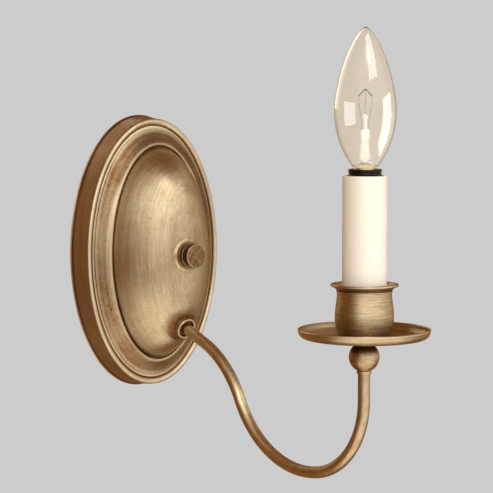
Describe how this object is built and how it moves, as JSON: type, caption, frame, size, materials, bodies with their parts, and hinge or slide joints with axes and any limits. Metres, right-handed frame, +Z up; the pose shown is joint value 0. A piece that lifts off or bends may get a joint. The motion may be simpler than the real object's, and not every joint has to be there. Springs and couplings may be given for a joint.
{
  "type": "wall sconce",
  "caption": "Wall sconce with an oval domed plate, a curved tube arm, a drip pan and cup, a candle sleeve and a flame-shaped lamp in a screw socket.",
  "frame": {"origin": "on the wall plane, at the centre of the oval plate and midway between the two slots of the crossbar", "axes": "+Z up, the arm reaches out along -Y, +Y points into the wall, +X to the right as seen from the room"},
  "size_m": [0.0982, 0.226, 0.2381],
  "materials": {
    "antique_brass": "brushed antique finish, warm and slightly darkened in the recesses",
    "dark_brass": "darkened antique brass",
    "bright_brass": "plain rolled brass",
    "plated_steel": "zinc plated",
    "ground_green": "green plated screw",
    "copper": "bare soft copper wire",
    "ivory_sleeve": "satin ivory candle cover",
    "socket_black": "black moulded phenolic",
    "lead_black": "black wire insulation",
    "lead_white": "white wire insulation",
    "connector_orange": "moulded wire connector",
    "clear_glass": "clear blown glass",
    "vitrite": "black glass insulator",
    "solder": "tinned solder",
    "wire_metal": "nickel wire",
    "tungsten": "coiled tungsten"
  },
  "bodies": {
    "root": {"backplate": "antique_brass", "crossbar": "plated_steel", "center_stud": "bright_brass", "stud_lock_nut": "plated_steel", "ground_screw": "ground_green", "ground_lead": "copper", "arm_seat_ring": "antique_brass", "arm_tube": "antique_brass", "arm_inner_washer": "plated_steel", "arm_lock_nut": "bright_brass", "arm_ferrule": "antique_brass", "neck_ball": "antique_brass", "bobeche": "antique_brass", "candle_cup": "antique_brass", "riser_nipple": "bright_brass", "socket_bracket": "plated_steel", "bracket_nut": "plated_steel", "socket_rivets": "bright_brass", "socket_body": "socket_black", "socket_screw_shell": "bright_brass", "socket_center_contact": "bright_brass", "live_lead": "lead_black", "neutral_lead": "lead_white", "wire_connectors": "connector_orange"},
    "knob_slider": {"knob_washer": "antique_brass"},
    "knob": {"cap_knob": "dark_brass"},
    "sleeve": {"candle_sleeve": "ivory_sleeve"},
    "bulb_rise": {"bulb_tip_contact": "solder"},
    "bulb": {"bulb_glass": "clear_glass", "bulb_base_shell": "bright_brass", "bulb_base_insulator": "vitrite", "bulb_stem": "clear_glass", "bulb_support_wires": "wire_metal", "bulb_filament": "tungsten"}
  },
  "joints": [
    {"name": "knob_slide", "type": "slide", "parent": "root", "child": "knob_slider", "axis": [0, -1, 0], "range_m": [0, 0.00472]},
    {"name": "knob_turn", "type": "hinge", "parent": "knob_slider", "child": "knob", "pos_m": [0, -0.05, 0], "axis": [0, -1, 0], "range_deg": [0, 1800]},
    {"name": "bulb_lift", "type": "slide", "parent": "root", "child": "bulb_rise", "axis": [0, 0, 1], "range_m": [0, 0.0096]},
    {"name": "bulb_turn", "type": "hinge", "parent": "bulb_rise", "child": "bulb", "pos_m": [0, -0.1918, 0.08], "axis": [0, 0, 1], "range_deg": [0, 1350]},
    {"name": "sleeve_lift", "type": "slide", "parent": "root", "child": "sleeve", "axis": [0, 0, 1], "range_m": [0, 0.009]}
  ],
  "couplings": [
    {"joint": "knob_slide", "follows": "knob_turn", "m_per_rad": 0.00014961},
    {"joint": "bulb_lift", "follows": "bulb_turn", "m_per_rad": 0.00040425}
  ]
}
